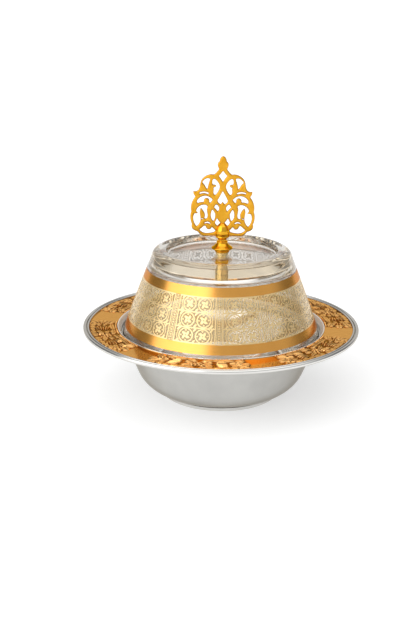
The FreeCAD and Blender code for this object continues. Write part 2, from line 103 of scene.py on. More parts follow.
def noise(tree, place, scale, detail=2.0):
    """Noise over the given coordinates."""
    texture = tree.nodes.new("ShaderNodeTexNoise")
    texture.inputs["Scale"].default_value = scale
    texture.inputs["Detail"].default_value = detail
    tree.links.new(place, texture.inputs["Vector"])
    return texture.outputs["Fac"]


def ramp(tree, factor, low, high, start=0.3, end=0.7):
    """Two colours, or two levels, spread over a part of a factor's range."""
    node = tree.nodes.new("ShaderNodeValToRGB")
    node.color_ramp.elements[0].position = start
    node.color_ramp.elements[1].position = end
    for element, value in zip(node.color_ramp.elements, (low, high)):
        colour = value if isinstance(value, tuple) else (value, value, value)
        element.color = (*colour, 1)
    tree.links.new(factor, node.inputs["Fac"])
    return node.outputs["Color"]


def grain(tree, shader, factor, depth, strength):
    """A fine bump of a given depth in metres on a shader."""
    bump = tree.nodes.new("ShaderNodeBump")
    bump.inputs["Distance"].default_value = depth
    bump.inputs["Strength"].default_value = strength
    tree.links.new(factor, bump.inputs["Height"])
    tree.links.new(bump.outputs["Normal"], shader.inputs["Normal"])


def lathe_place(tree, place):
    """Object coordinates as distance from the axis and height, for marks that run round."""
    split = tree.nodes.new("ShaderNodeSeparateXYZ")
    tree.links.new(place, split.inputs["Vector"])
    flat = tree.nodes.new("ShaderNodeCombineXYZ")
    tree.links.new(split.outputs["X"], flat.inputs["X"])
    tree.links.new(split.outputs["Y"], flat.inputs["Y"])
    reach = tree.nodes.new("ShaderNodeVectorMath")
    reach.operation = "LENGTH"
    tree.links.new(flat.outputs["Vector"], reach.inputs[0])
    joined = tree.nodes.new("ShaderNodeCombineXYZ")
    tree.links.new(reach.outputs["Value"], joined.inputs["X"])
    tree.links.new(split.outputs["Z"], joined.inputs["Z"])
    return joined.outputs["Vector"]


SHEET = 0.0012
FLOOR_UNDER = 0.0032
FLOOR_RADIUS = 0.0680
SHOULDER_RADIUS = 0.0880
SEAT_INNER = 0.0884
SEAT_UNDER = 0.0563
SEAT_TOP = SEAT_UNDER + SHEET
SEAT_WALL = 0.0928
COLLAR_TOP = 0.0644
FLANGE_UNDER = 0.0620
FLANGE_TOP = FLANGE_UNDER + SHEET
BAND_INNER = 0.0943
BAND_OUTER = 0.1195
INNER_BEAD_TOP = 0.0653
GROOVE_INNER = 0.1214
GROOVE_OUTER = 0.1218
GROOVE_FLOOR = 0.0640
RIM_RADIUS = 0.1250
RIM_TOP = 0.0656
BOWL_TURNS = 256
# along the outside from the middle of the floor to the rim, and back along the inside
BOWL = [
    (0.0, FLOOR_UNDER, 0),
    (FLOOR_RADIUS, FLOOR_UNDER, 0.031),
    (SHOULDER_RADIUS, 0.0520, 0.012),
    (SEAT_INNER, SEAT_UNDER, 0.0008),
    (SEAT_WALL, SEAT_UNDER, 0.001),
    (SEAT_WALL, FLANGE_UNDER, 0.001),
    (RIM_RADIUS, FLANGE_UNDER, 0.0016),
    (RIM_RADIUS, RIM_TOP, 0.0017),
    (GROOVE_OUTER, RIM_TOP, 0.0015),
    (GROOVE_OUTER, GROOVE_FLOOR, 0.0001),
    (GROOVE_INNER, GROOVE_FLOOR, 0.0001),
    (GROOVE_INNER, INNER_BEAD_TOP, 0.0009),
    (BAND_OUTER, INNER_BEAD_TOP, 0.0009),
    (BAND_OUTER, FLANGE_TOP, 0),
    (BAND_INNER, FLANGE_TOP, 0),
    (BAND_INNER, COLLAR_TOP, 0.0004),
    (0.0934, COLLAR_TOP, 0.0012),
    (0.0906, 0.0604, 0.0016),
    (0.0905, SEAT_TOP, 0.0003),
    (SEAT_INNER - SHEET, SEAT_TOP, 0.0008),
    (SHOULDER_RADIUS - SHEET, 0.0522, 0.012),
    (FLOOR_RADIUS - SHEET, FLOOR_UNDER + SHEET, 0.0298),
    (0.0, FLOOR_UNDER + SHEET, 0),
]
SHADED_SATIN_BELOW = FLANGE_UNDER + 0.0001
FACING_DOWN = -0.5
SEAT_WITHIN = 0.0941
SEAT_ABOVE = 0.0560


def steel(name, low, high, smooth, dull, edge):
    """Stainless steel with turning strokes: a grey range, a roughness range and the tone seen edge on."""
    finish, tree, shader, place = new_finish(name)
    rings = noise(tree, lathe_place(tree, place), scale=2600)
    clouds = noise(tree, place, scale=34, detail=3.0)
    tree.links.new(ramp(tree, clouds, low, high), shader.inputs["Base Color"])
    tree.links.new(ramp(tree, rings, smooth, dull), shader.inputs["Roughness"])
    shader.inputs["Specular Tint"].default_value = (*edge, 1)
    shader.inputs["Metallic"].default_value = 1
    grain(tree, shader, rings, depth=0.000004, strength=0.25)
    return finish


polished_steel = steel("polished_steel", low=(0.70, 0.69, 0.665), high=(0.77, 0.76, 0.735),
                       smooth=0.05, dull=0.11, edge=(0.60, 0.57, 0.52))
# The outside below the flange is satin, and its grey is painted darker than the polished steel as painted
# shade.
shaded_satin_steel = steel("shaded_satin_steel", low=(0.52, 0.515, 0.495), high=(0.60, 0.595, 0.57),
                    smooth=0.14, dull=0.24, edge=(0.60, 0.565, 0.515))
# The seat is matt, and its steel is painted paler than steel can be as painted light.
lit_seat_steel = steel("lit_seat_steel", low=(0.92, 0.90, 0.86), high=(0.97, 0.95, 0.91),
                   smooth=0.42, dull=0.55, edge=(0.95, 0.92, 0.86))
bowl = turned("bowl", BOWL, BOWL_TURNS)
for finish in (polished_steel, shaded_satin_steel, lit_seat_steel):
    bowl.data.materials.append(finish)
shaded_satin_index = bowl.data.materials.find(shaded_satin_steel.name)
lit_seat_index = bowl.data.materials.find(lit_seat_steel.name)
for face in bowl.data.polygons:
    outward = face.normal.x * face.center.x + face.normal.y * face.center.y
    reach = math.hypot(face.center.x, face.center.y)
    # outward and downward faces below the flange take the steel with the painted shade
    if face.center.z < SHADED_SATIN_BELOW and (outward > 0 or face.normal.z < FACING_DOWN):
        face.material_index = shaded_satin_index
    elif reach < SEAT_WITHIN and face.center.z > SEAT_ABOVE:
        face.material_index = lit_seat_index
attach(bowl, "dish")
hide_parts("dish_bowl")


# Foot ring. A low hoop of the same steel, rolled from strip and soldered under the floor of the bowl, which
# keeps the bowl off the table. Its standing edge is rounded over and rubbed bright.
SOLDER_LAP = 0.0001
FOOT_TOP = FLOOR_UNDER + SOLDER_LAP
FOOT_TURNS = 192
FOOT = [
    (0.0504, 0.0, 0.0008),
    (0.0530, 0.0, 0.0008),
    (0.0538, FOOT_TOP, 0),
    (0.0496, FOOT_TOP, 0),
]
foot = turned("foot", FOOT, FOOT_TURNS, closed=True, run=0.001)
foot.data.materials.append(polished_steel)
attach(foot, "dish")
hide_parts("foot_ring")


# Rim band. A gold plated ring pressed in relief, laid in the shallow channel of the flange. Six sprays of
# long leaves stand on it, worked with lobes, comb ribs and beads, and plain plate shows between one spray
# and the next.
PLATE = 0.0005
BAND_GROUND = FLANGE_TOP + PLATE
BAND_STEPS = 1440
BAND_ROWS = 64
SPRAYS = 6
GAP_TURN = math.radians(-10)
LEAF_SHARE = 0.5
LEAF_LIMIT = 0.001
CAST_FROM = 0.08
# the sprays are drawn in millimetres, along from a spray's middle and across from the middle of the band
MM = 1000
SPRAY_HALF = 43.0
SPRAY_FADE = 3
EDGE_AT = 12.5
EDGE_FADE = 0.6
RELIEF_HIGH = 1.4
RELIEF_SEEN = 0.02
GAP_TONE = 0.56
# each lobe: its place along and across, two half widths, lean, height and depth of vein
LOBES = [
    (4.8, 9.4, 3.7, 2.7, 0.30, 0.95, 0.3),
    (10.8, 9.9, 3.7, 2.5, 0.30, 1.00, 0.3),
    (17.0, 10.0, 3.8, 2.4, 0.25, 1.05, 0.3),
    (23.2, 9.8, 3.8, 2.5, 0.20, 1.05, 0.3),
    (29.2, 9.2, 3.6, 2.9, 0.10, 1.05, 0.3),
    (8.6, 4.0, 4.8, 2.5, 0.45, 1.10, 0.5),
    (8.2, -1.8, 4.0, 2.1, -0.25, 1.05, 0.5),
    (37.0, 8.0, 4.8, 3.8, 0.50, 1.20, 0.6),
    (39.6, 0.9, 3.9, 3.8, 0.00, 1.20, 0.6),
    (36.0, -6.4, 5.0, 3.8, -0.40, 1.20, 0.6),
    (21.0, -7.8, 10.6, 2.4, 0.05, 1.10, 0.6),
    (6.8, -7.4, 5.6, 2.9, -0.20, 1.05, 0.6),
    (30.0, 4.4, 3.4, 2.2, 0.40, 1.05, 0.4),
    (29.4, -1.6, 3.4, 2.0, -0.20, 1.05, 0.4),
]
LOBE_FULLNESS = 0.28
VEIN_WIDE = 0.15
# each comb: the first and last rib's place, how many ribs, their half length, the first and last rib's lean
COMBS = [
    ((19.4, -4.6), (20.6, 7.2), 6, 4.9, -0.30, 0.35),
    ((33.6, -2.6), (34.2, 4.8), 4, 2.8, -0.40, 0.50),
    ((3.6, 5.4), (5.0, 2.4), 2, 1.5, 0.60, 0.30),
]
RIB_HALF_WIDE = 0.82
RIB_HIGH = 1.4
# each row of beads along an edge: first and last place, how many and their radius
BEADS = [
    ((3.2, -11.5), (39.4, -11.3), 16, 0.95),
    ((33.0, 11.9), (40.6, 11.7), 4, 0.80),
]
BEAD_HIGH = 1.1
PETALS = 6
PETAL_OUT = 3.2
PETAL_RADII = (1.9, 1.0)
PETAL_HIGH = 0.9
BOSS_RADII = (1.7, 1.7)
BOSS_HIGH = 1.3


def boss_relief(along, across, centre, radii, lean, height, fullness=0.5, vein=0.0):
    """Height of an oval boss, such as a bead, a lobe of a leaf or a comb rib, at each point of the band."""
    x = along - centre[0]
    y = across - centre[1]
    u = (x * math.cos(lean) + y * math.sin(lean)) / radii[0]
    v = (y * math.cos(lean) - x * math.sin(lean)) / radii[1]
    rise = height * np.clip(1 - u * u - v * v, 0, 1) ** fullness
    return rise * (1 - vein * np.exp(-(v / VEIN_WIDE) ** 2))


def row_places(first, last, count):
    """Places in an even row from the first to the last, each with its share of the way."""
    for number in range(count):
        share = number / (count - 1)
        yield (first[0] + share * (last[0] - first[0]), first[1] + share * (last[1] - first[1])), share


bosses = []
for x, y, long, wide, lean, high, vein in LOBES:
    bosses.append(((x, y), (long, wide), lean, high, LOBE_FULLNESS, vein))
for first, last, ribs, long, lean, last_lean in COMBS:
    for centre, share in row_places(first, last, ribs):
        bosses.append((centre, (long, RIB_HALF_WIDE), lean + share * (last_lean - lean), RIB_HIGH))
for first, last, beads, size in BEADS:
    for centre, share in row_places(first, last, beads):
        bosses.append((centre, (size, size), 0, BEAD_HIGH))
for petal in range(PETALS):
    tilt = petal * 2 * math.pi / PETALS
    centre = (PETAL_OUT * math.cos(tilt), PETAL_OUT * math.sin(tilt))
    bosses.append((centre, PETAL_RADII, tilt, PETAL_HIGH))
bosses.append(((0, 0), BOSS_RADII, 0, BOSS_HIGH))

# one half of one spray is worked out once and serves for all
bm = bmesh.new()
bmesh.ops.create_grid(bm, x_segments=BAND_STEPS, y_segments=BAND_ROWS, size=0.5)
shares = np.array([vert.co for vert in bm.verts]) + 0.5
angles = shares[:, 0] * 2 * math.pi
radii = BAND_INNER + shares[:, 1] * (BAND_OUTER - BAND_INNER)
pitch = 2 * math.pi / SPRAYS
middle_radius = (BAND_INNER + BAND_OUTER) / 2
from_middle = (angles - GAP_TURN) % pitch - pitch / 2
along = np.abs(from_middle) * middle_radius * MM
across = (radii - middle_radius) * MM
spots, spot_of = np.unique(np.round(np.stack([along, across], -1), decimals=4), axis=0, return_inverse=True)
spot_of = spot_of.ravel()
once = np.zeros(len(spots))
for boss in bosses:
    once = np.maximum(once, boss_relief(spots[:, 0], spots[:, 1], *boss))

# the pressed leaves of the solid lie under the finer work
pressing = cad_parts["rim_band"].data
leaves = BVHTree.FromPolygons([vert.co for vert in pressing.vertices],
                              [face.vertices for face in pressing.polygons])
leaf_rise = np.zeros(len(spots))
for number, (x, y) in enumerate(spots):
    angle = GAP_TURN + pitch / 2 + x / MM / middle_radius
    reach = middle_radius + y / MM
    above_spot = Vector((reach * math.cos(angle), reach * math.sin(angle), CAST_FROM))
    hit = leaves.ray_cast(above_spot, Vector((0, 0, -1)))[0]
    if hit:
        leaf_rise[number] = min(max(hit.z - BAND_GROUND, 0), LEAF_LIMIT) * MM

edge_fade = np.clip((EDGE_AT - np.abs(across)) / EDGE_FADE, 0, 1)
relief = once[spot_of] * edge_fade
rises = relief + LEAF_SHARE * leaf_rise[spot_of] * edge_fade
in_spray = np.clip((SPRAY_HALF - along) / SPRAY_FADE, 0, 1)
# Painted shade and painted light: the ground between the leaves is painted dark, each boss lighter the higher
# it stands, and the plain plate between sprays keeps a middle tone.
shade_levels = np.where(relief > RELIEF_SEEN, relief / RELIEF_HIGH, GAP_TONE - GAP_TONE * in_spray)
shade_layer = bm.verts.layers.float.new("relief")
for vert, angle, reach, rise, tone in zip(bm.verts, angles, radii, rises, shade_levels):
    vert.co = (reach * math.cos(angle), reach * math.sin(angle), BAND_GROUND + rise / MM)
    vert[shade_layer] = tone
bmesh.ops.remove_doubles(bm, verts=bm.verts, dist=WELD)
rims = [edge for edge in bm.edges if edge.is_boundary]
walls = bmesh.ops.extrude_edge_only(bm, edges=rims)["geom"]
for vert in [item for item in walls if isinstance(item, bmesh.types.BMVert)]:
    vert.co.z = FLANGE_TOP
bmesh.ops.bridge_loops(bm, edges=[edge for edge in bm.edges if edge.is_boundary])
bmesh.ops.recalc_face_normals(bm, faces=bm.faces)
rim_gold = as_piece("rim_gold", bm)


def mark(tree, name):
    """The value of one of the piece's own attributes."""
    node = tree.nodes.new("ShaderNodeAttribute")
    node.attribute_name = name
    return node.outputs["Fac"]


def shaded(tree, colour, shade, factor):
    """A colour darkened by a shade, as far as the factor says."""
    mix = tree.nodes.new("ShaderNodeMix")
    mix.data_type = "RGBA"
    mix.blend_type = "MULTIPLY"
    mix.inputs["Factor"].default_value = factor
    tree.links.new(colour, mix.inputs["A"])
    tree.links.new(shade, mix.inputs["B"])
    return mix.outputs["Result"]


embossed_gold, tree, shader, place = new_finish("embossed_gold")
# Painted shade and light: the plate runs from dark brown on the ground between the leaves to bright gold on
# the tops.
plate = ramp(tree, mark(tree, "relief"), (0.25, 0.095, 0.02), (0.97, 0.55, 0.20), start=0.0, end=0.75)
tarnish = noise(tree, place, scale=260, detail=3.0)
worn = ramp(tree, tarnish, (0.84, 0.80, 0.74), (1.0, 1.0, 1.0))
tree.links.new(shaded(tree, plate, worn, factor=0.6), shader.inputs["Base Color"])
tree.links.new(ramp(tree, tarnish, 0.07, 0.15), shader.inputs["Roughness"])
shader.inputs["Specular Tint"].default_value = (1.0, 0.76, 0.47, 1)
shader.inputs["Metallic"].default_value = 1
grain(tree, shader, noise(tree, place, scale=1800), depth=0.000015, strength=0.25)
rim_gold.data.materials.append(embossed_gold)
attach(rim_gold, "dish")
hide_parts("rim_band")


# Lid glass. The lid is one heavy pressing of clear soda glass, a cup with a thick base turned upside down.
# Its base has a shallow recess on top and a drilled hole, and the rims are fire polished.
LIP_RADIUS = 0.0900
LIP_HEIGHT = SEAT_TOP
CROWN_RADIUS = 0.0612
CROWN_HEIGHT = 0.1338
GASKET = 0.0016
GASKET_GAP = 0.00005
UPPER_GASKET_UNDER = 0.1302
LOWER_GASKET_TOP = 0.1200
RECESS_FLOOR = UPPER_GASKET_UNDER - GASKET_GAP
CEILING = LOWER_GASKET_TOP + GASKET_GAP
SLEEVE_RADIUS = 0.0040
SLEEVE_LAP = 0.0001
HOLE_RADIUS = SLEEVE_RADIUS - SLEEVE_LAP
LID_TURNS = 224
LID_RUN = 0.003
# up the outside from the lip, over the raised ring, through the hole and down the inside
GLASS = [
    (LIP_RADIUS, LIP_HEIGHT, 0.0008),
    (CROWN_RADIUS, CROWN_HEIGHT, 0.0050),
    (0.0560, 0.1354, 0.0060),
    (0.0500, 0.1344, 0.0016),
    (0.0484, RECESS_FLOOR, 0.0016),
    (HOLE_RADIUS, RECESS_FLOOR, 0.0003),
    (HOLE_RADIUS, CEILING, 0.0003),
    (0.0470, CEILING, 0.001),
    (0.0486, 0.1210, 0.001),
    (0.0560, 0.1210, 0.002),
    (0.0616, 0.1192, 0.005),
    (0.0852, LIP_HEIGHT, 0.0008),
]
clear_glass, tree, shader, place = new_finish("clear_glass")
ripple = noise(tree, place, scale=22)
tree.links.new(ramp(tree, ripple, (0.985, 0.978, 0.962), (0.997, 0.992, 0.985)), shader.inputs["Base Color"])
tree.links.new(ramp(tree, ripple, 0.0, 0.012), shader.inputs["Roughness"])
shader.inputs["Transmission Weight"].default_value = 1
shader.inputs["IOR"].default_value = 1.5
grain(tree, shader, ripple, depth=0.0004, strength=0.12)
depth_tint = tree.nodes.new("ShaderNodeVolumeAbsorption")
depth_tint.inputs["Color"].default_value = (0.93, 0.78, 0.48, 1)
depth_tint.inputs["Density"].default_value = 7
tree.links.new(depth_tint.outputs["Volume"], tree.nodes["Material Output"].inputs["Volume"])
glass = turned("glass", GLASS, LID_TURNS, closed=True, run=LID_RUN)
glass.data.materials.append(clear_glass)
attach(glass, "lid")
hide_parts("lid_glass")


# Gold bands. Two stripes of matt gold, brushed on the outside of the turning lid by hand and fired into the
# glass, one under the thick base and one above the clear lip.
LEAN = (LIP_RADIUS - CROWN_RADIUS) / (CROWN_HEIGHT - LIP_HEIGHT)
FILM_UNDER = 0.00002
FILM_OVER = 0.00008
BAND_HEIGHTS = {"lower_gold_band": (0.0650, 0.0730), "upper_gold_band": (0.1105, 0.1183)}


def wall_radius(height, proud):
    """Radius of the lid's outside at a height, and a little proud of it."""
    return LIP_RADIUS - (height - LIP_HEIGHT) * LEAN + proud


def film(name, low, high, under, over):
    """A thin film round the lid between two heights, from one distance off the glass to another."""
    outline = [
        (wall_radius(low, under), low, 0),
        (wall_radius(low, over), low, 0),
        (wall_radius(high, over), high, 0),
        (wall_radius(high, under), high, 0),
    ]
    return turned(name, outline, LID_TURNS, closed=True, run=LID_RUN)


satin_gold, tree, shader, place = new_finish("satin_gold")
strokes = noise(tree, lathe_place(tree, place), scale=1500, detail=3.0)
cloud = noise(tree, place, scale=60, detail=3.0)
tree.links.new(ramp(tree, cloud, (0.77, 0.345, 0.028), (0.83, 0.38, 0.036)), shader.inputs["Base Color"])
tree.links.new(ramp(tree, strokes, 0.20, 0.28), shader.inputs["Roughness"])
shader.inputs["Specular Tint"].default_value = (0.6, 0.37, 0.15, 1)
shader.inputs["Metallic"].default_value = 1
shader.inputs["Coat Weight"].default_value = 0.32
shader.inputs["Coat IOR"].default_value = 2.6
shader.inputs["Coat Roughness"].default_value = 0.2
grain(tree, shader, strokes, depth=0.00001, strength=0.3)
for name, (low, high) in BAND_HEIGHTS.items():
    band = film(name, low, high, FILM_UNDER, FILM_OVER)
    band.data.materials.append(satin_gold)
    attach(band, "lid")


# Gold wash. Under the lace the glass carries a breath of pale gold lustre, thin enough to see through,
# which is fired on with the print.
LACE_LOW = BAND_HEIGHTS["lower_gold_band"][1]
LACE_HIGH = BAND_HEIGHTS["upper_gold_band"][0]
WASH_UNDER = 0.000008
WASH_OVER = 0.000015
gold_wash, tree, shader, place = new_finish("gold_wash")
cloud = noise(tree, place, scale=90, detail=3.0)
tree.links.new(ramp(tree, cloud, (0.86, 0.60, 0.22), (0.95, 0.70, 0.30)), shader.inputs["Base Color"])
tree.links.new(ramp(tree, cloud, 0.35, 0.5), shader.inputs["Roughness"])
shader.inputs["Metallic"].default_value = 0.4
shader.inputs["Alpha"].default_value = 0.22
wash = film("wash", LACE_LOW, LACE_HIGH, WASH_UNDER, WASH_OVER)
wash.data.materials.append(gold_wash)
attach(wash, "lid")


# Gold lace. Between the bands a transfer print of gold lines is fired on the glass: twelve panels of round
# rosettes, three high and two wide, with beaded strips between the panels.
SLOPE = math.sqrt(1 + LEAN * LEAN)
LACE_RADIUS = wall_radius((LACE_LOW + LACE_HIGH) / 2, 0)
LACE_TALL = (LACE_HIGH - LACE_LOW) * SLOPE
LACE_START = math.radians(13.9) - math.pi / 2
PANELS = 12
PANEL_WIDE = 2 * math.pi * LACE_RADIUS / PANELS
ROWS = 3
CELL_WIDE = PANEL_WIDE * 0.35
CELL_TALL = LACE_TALL / ROWS
RING_RADIUS = 0.0062
RING_LINE = 0.0009
ECHO_RADIUS = RING_RADIUS + 0.0018
ECHO_LINE = 0.0006
ECHO_HALF_TURN = 0.95
LEAF_OUT = 0.0021
LEAF_LONG = 0.0020
LEAF_WIDE = 0.0011
LEAF_TWIST = 0.45
DOT_OUT = 0.0042
DOT_RADIUS = 0.0007
DOT_TURN = -0.7
SIDE_LEAF_STEP = CELL_WIDE - 0.0002
SIDE_LEAF_UP = 0.0049
SIDE_LEAF_LONG = 0.0019
SIDE_LEAF_WIDE = 0.0008
SIDE_LEAF_TURN = 0.87
RULE_LINE = 0.001
STRIP = PANEL_WIDE / 2
STRIP_HALF = 0.0031
# each line of a strip: its distance from the strip's middle and its width
STRIP_LINES = [
    (-STRIP_HALF, 0.0009),
    (-0.0016, 0.0004),
    (0.0016, 0.0004),
    (STRIP_HALF, 0.0009),
]
STRIP_BEADS = 19
STRIP_BEAD_RADIUS = 0.0008


def spot(bm, x, y, long, wide, turn=0.0, sides=8):
    """A flat oval of print at a place on the unrolled wall."""
    turned_there = Matrix.Translation((x, y, 0)) @ Matrix.Rotation(turn, 4, "Z")
    shape = turned_there @ Matrix.Diagonal((long, wide, 1, 1))
    bmesh.ops.create_circle(bm, cap_ends=True, segments=sides, radius=1, matrix=shape)


def arc(bm, x, y, outer, line, start, end, steps):
    """A flat arc of print round a centre."""
    made = bmesh.ops.create_grid(bm, x_segments=steps, y_segments=1, size=0.5)
    for vert in made["verts"]:
        turn = start + (vert.co.x + 0.5) * (end - start)
        reach = outer + (vert.co.y - 0.5) * line
        vert.co = (x + reach * math.cos(turn), y + reach * math.sin(turn), 0)


def bar(bm, x, y, wide, tall, pieces):
    """A flat bar of print, divided along its length so that it follows the wall."""
    shape = Matrix.Translation((x, y, 0)) @ Matrix.Diagonal((wide, tall, 1, 1))
    across, up = (pieces, 1) if wide > tall else (1, pieces)
    bmesh.ops.create_grid(bm, x_segments=across, y_segments=up, size=0.5, matrix=shape)


lace_bm = bmesh.new()
for row in range(ROWS):
    y = (row + 0.5) * CELL_TALL
    for column in (-0.5, 0.5):
        x = column * CELL_WIDE
        arc(lace_bm, x, y, RING_RADIUS, RING_LINE, 0, 2 * math.pi, steps=32)
        outside = 0 if column > 0 else math.pi
        arc(lace_bm, x, y, ECHO_RADIUS, ECHO_LINE, outside - ECHO_HALF_TURN, outside + ECHO_HALF_TURN,
            steps=10)
        for quarter in range(4):
            lean = quarter * math.pi / 2 + math.pi / 4
            spot(lace_bm, x + LEAF_OUT * math.cos(lean), y + LEAF_OUT * math.sin(lean), LEAF_LONG, LEAF_WIDE,
                 lean + LEAF_TWIST, sides=10)
            aside = lean + DOT_TURN
            spot(lace_bm, x + DOT_OUT * math.cos(aside), y + DOT_OUT * math.sin(aside),
                 DOT_RADIUS, DOT_RADIUS)
    for column in (-1, 0, 1):
        for up in (-SIDE_LEAF_UP, SIDE_LEAF_UP):
            spot(lace_bm, column * SIDE_LEAF_STEP, y + up, SIDE_LEAF_LONG, SIDE_LEAF_WIDE, SIDE_LEAF_TURN)
for rule in range(ROWS + 1):
    y = min(max(rule * CELL_TALL, RULE_LINE / 2), LACE_TALL - RULE_LINE / 2)
    bar(lace_bm, 0, y, 2 * (STRIP - STRIP_HALF), RULE_LINE, pieces=12)
for offset, wide in STRIP_LINES:
    bar(lace_bm, STRIP + offset, LACE_TALL / 2, wide, LACE_TALL, pieces=1)
for bead in range(STRIP_BEADS):
    y = (bead + 0.5) * LACE_TALL / STRIP_BEADS
    spot(lace_bm, STRIP, y, STRIP_BEAD_RADIUS, STRIP_BEAD_RADIUS, sides=6)
panel = lace_bm.verts[:] + lace_bm.edges[:] + lace_bm.faces[:]
for number in range(1, PANELS):
    copy = bmesh.ops.duplicate(lace_bm, geom=panel)["geom"]
    moved = [item for item in copy if isinstance(item, bmesh.types.BMVert)]
    bmesh.ops.translate(lace_bm, verts=moved, vec=(number * PANEL_WIDE, 0, 0))
for vert in lace_bm.verts:
    height = LACE_LOW + vert.co.y / SLOPE
    angle = vert.co.x / LACE_RADIUS + LACE_START
    reach = wall_radius(height, FILM_UNDER)
    vert.co = (reach * math.cos(angle), reach * math.sin(angle), height)
lace_bm.normal_update()
for face in lace_bm.faces:
    middle = face.calc_center_median()
    if face.normal.x * middle.x + face.normal.y * middle.y < 0:
        face.normal_flip()
lace_bm.normal_update()
bmesh.ops.solidify(lace_bm, geom=lace_bm.faces[:], thickness=FILM_UNDER - FILM_OVER)
lace = as_piece("lace", lace_bm)
print_gold, tree, shader, place = new_finish("print_gold")
speckle = noise(tree, place, scale=900, detail=3.0)
tree.links.new(ramp(tree, speckle, (0.79, 0.57, 0.25), (0.88, 0.66, 0.33)), shader.inputs["Base Color"])
tree.links.new(ramp(tree, speckle, 0.3, 0.42), shader.inputs["Roughness"])
shader.inputs["Metallic"].default_value = 0.8
shader.inputs["Coat Weight"].default_value = 0.4
shader.inputs["Coat IOR"].default_value = 2.0
shader.inputs["Coat Roughness"].default_value = 0.3
lace.data.materials.append(print_gold)
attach(lace, "lid")


# Washers and sleeve. Soft clear silicone keeps the metal off the glass: a sleeve through the drilled hole
# and a flat gasket on each side, punched from sheet. The sleeve and the upper gasket are painted a bright
# amber gold, a painted reflection of the gold stem and collar above them; the silicone itself is clear.
SILICONE_IOR = 1.41
clear_silicone, tree, shader, place = new_finish("clear_silicone")
haze = noise(tree, place, scale=400)
tree.links.new(ramp(tree, haze, (0.93, 0.80, 0.56), (0.98, 0.88, 0.66)), shader.inputs["Base Color"])
tree.links.new(ramp(tree, haze, 0.25, 0.4), shader.inputs["Roughness"])
shader.inputs["IOR"].default_value = SILICONE_IOR
# Painted reflection: a bright amber gold that stands in for the gold stem mirrored in the glass.
reflected_gold_silicone, tree, shader, place = new_finish("reflected_gold_silicone")
haze = noise(tree, place, scale=300)
tree.links.new(ramp(tree, haze, (1.0, 0.70, 0.28), (1.0, 0.80, 0.38)), shader.inputs["Base Color"])
tree.links.new(ramp(tree, haze, 0.2, 0.32), shader.inputs["Roughness"])
shader.inputs["Metallic"].default_value = 0.5
shader.inputs["IOR"].default_value = SILICONE_IOR


def dress(node, finish):
    """Puts a finish on a carried over node."""
    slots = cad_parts[node].data.materials
    slots.clear()
    slots.append(finish)


dress("hole_sleeve", reflected_gold_silicone)
dress("upper_gasket", reflected_gold_silicone)
dress("lower_gasket", clear_silicone)


# Finial stem. A turned brass baluster, gold plated and polished, with a collar that bears on the gasket, a
# flared skirt, a ringed waist and a bud that is slotted for the plaque.
STEM_FOOT = UPPER_GASKET_UNDER + GASKET
STEM_TURNS = 96
STEM = [
    (0.0, STEM_FOOT, 0),
    (0.0057, STEM_FOOT, 0.0003),
    (0.0063, 0.1324, 0.0003),
    (0.0063, 0.1334, 0.0004),
    (0.0058, 0.1339, 0.0002),
    (0.0093, 0.1350, 0.0004),
    (0.0095, 0.1361, 0.0004),
    (0.0066, 0.1383, 0.003),
    (0.0045, 0.1407, 0.0006),
    (0.0050, 0.1411, 0.0003),
    (0.0050, 0.1418, 0.0003),
    (0.0039, 0.1423, 0.0003),
    (0.0039, 0.1442, 0.0006),
    (0.0052, 0.1450, 0.0004),
    (0.0062, 0.1459, 0.0005),
    (0.0058, 0.1468, 0.0003),
    (0.0063, 0.1490, 0.0020),
    (0.0060, 0.1522, 0.0040),
    (0.0045, 0.1558, 0.0040),
    (0.0022, 0.1582, 0.0020),
    (0.0, 0.1590, 0),
]
GOLD_EDGE = (1.0, 0.7, 0.25, 1)
polished_gold, tree, shader, place = new_finish("polished_gold")
rings = noise(tree, lathe_place(tree, place), scale=3000)
cloud = noise(tree, place, scale=160)
tree.links.new(ramp(tree, cloud, (0.74, 0.36, 0.02), (0.85, 0.45, 0.035)), shader.inputs["Base Color"])
tree.links.new(ramp(tree, rings, 0.12, 0.22), shader.inputs["Roughness"])
shader.inputs["Specular Tint"].default_value = GOLD_EDGE
shader.inputs["Metallic"].default_value = 1
grain(tree, shader, rings, depth=0.000006, strength=0.3)
stem = turned("stem", STEM, STEM_TURNS, run=0.0006, facets=6)
stem.data.materials.append(polished_gold)
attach(stem, "finial")
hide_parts("finial_stem")


# Finial plaque. A pierced palmette of scrolls and leaves, cast in brass as one flat piece, tumbled until its
# edges are soft, gold plated and set in the slot of the stem.
PLAQUE_WELD = 1e-6
PLAQUE_GRAIN = 0.00028
PLAQUE_FLESH = 0.00004
PLAQUE_SPREAD = 1.02
TUMBLES = 24
bm = bmesh.new()
bm.from_mesh(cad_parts["finial_plaque"].data)
bmesh.ops.remove_doubles(bm, verts=bm.verts, dist=PLAQUE_WELD)
blank = as_piece("plaque_blank", bm)
remesh = blank.modifiers.new("cast", "REMESH")
remesh.mode = "VOXEL"
remesh.voxel_size = PLAQUE_GRAIN
view = bpy.context.evaluated_depsgraph_get()
cast = bpy.data.meshes.new_from_object(blank.evaluated_get(view))
bpy.data.objects.remove(blank)
bm = bmesh.new()
bm.from_mesh(cast)
bpy.data.meshes.remove(cast)
bm.normal_update()
for vert in bm.verts:
    vert.co += vert.normal * PLAQUE_FLESH
    vert.co.x *= PLAQUE_SPREAD
for tumble in range(TUMBLES):
    bmesh.ops.smooth_vert(bm, verts=bm.verts, factor=0.5, use_axis_x=True, use_axis_y=True, use_axis_z=True)
bmesh.ops.recalc_face_normals(bm, faces=bm.faces)
bm.normal_update()
